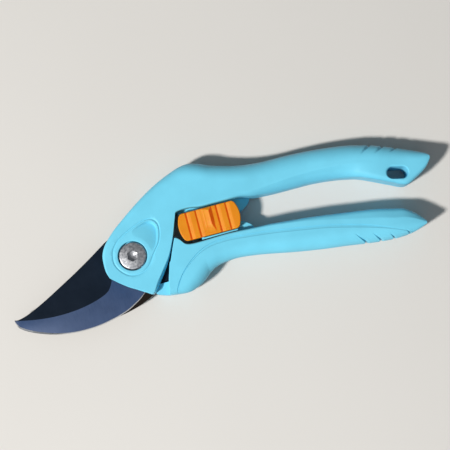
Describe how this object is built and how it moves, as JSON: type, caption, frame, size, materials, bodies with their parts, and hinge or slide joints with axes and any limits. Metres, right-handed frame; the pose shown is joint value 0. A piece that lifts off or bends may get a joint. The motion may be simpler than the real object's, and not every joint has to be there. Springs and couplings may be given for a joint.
{
  "type": "bypass pruner",
  "caption": "Hand pruner with two pivoting moulded handles, a curved bypass blade passing a hook, a return spring between the handles and a sliding thumb lock.",
  "frame": {"origin": "bottom centre of the closed tool's bounding box, on the back face it lies on", "axes": "+X from the blade tip to the handle ends, +Y from the lower handle to the upper handle, +Z out of the face with the pivot screw"},
  "size_m": [0.1992, 0.061, 0.0158],
  "materials": {
    "handle_plastic": "satin light-blue moulded plastic",
    "grip_plastic": "slightly softer light-blue moulded cover",
    "lock_plastic": "satin orange moulded plastic",
    "coated_blade_steel": "dark non-stick coating with a ground bevel",
    "hook_steel": "dark coated steel",
    "bolt_steel": "turned steel",
    "spring_steel": "drawn spring wire",
    "sleeve_bronze": "plain bearing bronze",
    "friction_polymer": "off-white low-friction polymer"
  },
  "bodies": {
    "upper": {"upper_handle": "handle_plastic", "counter_blade": "hook_steel", "hook_pin_1": "bolt_steel", "hook_pin_2": "bolt_steel", "head_washer": "bolt_steel", "friction_disc": "friction_polymer", "lock_detent_leaf": "spring_steel", "return_spring": "spring_steel"},
    "lower": {"lower_handle": "handle_plastic", "lower_grip": "grip_plastic", "cutting_blade": "coated_blade_steel", "blade_pin_1": "bolt_steel", "blade_pin_2": "bolt_steel", "pivot_bolt": "bolt_steel", "pivot_nut": "bolt_steel", "nut_washer": "bolt_steel", "pivot_sleeve": "sleeve_bronze"},
    "lock": {"lock_slide": "lock_plastic", "lock_retainer": "bolt_steel", "lock_screw": "bolt_steel"}
  },
  "joints": [
    {"name": "handle_pivot", "type": "hinge", "parent": "upper", "child": "lower", "pos_m": [-0.0406, -0.0023, 0.008], "axis": [0, 0, -1], "range_deg": [0, 19], "stiffness_Nm_per_rad": 0.25, "springref_deg": 45.84, "deforming": ["return_spring"]},
    {"name": "lock_slide_travel", "type": "slide", "parent": "upper", "child": "lock", "axis": [0.9985, -0.0541, 0], "range_m": [0, 0.0055]}
  ]
}
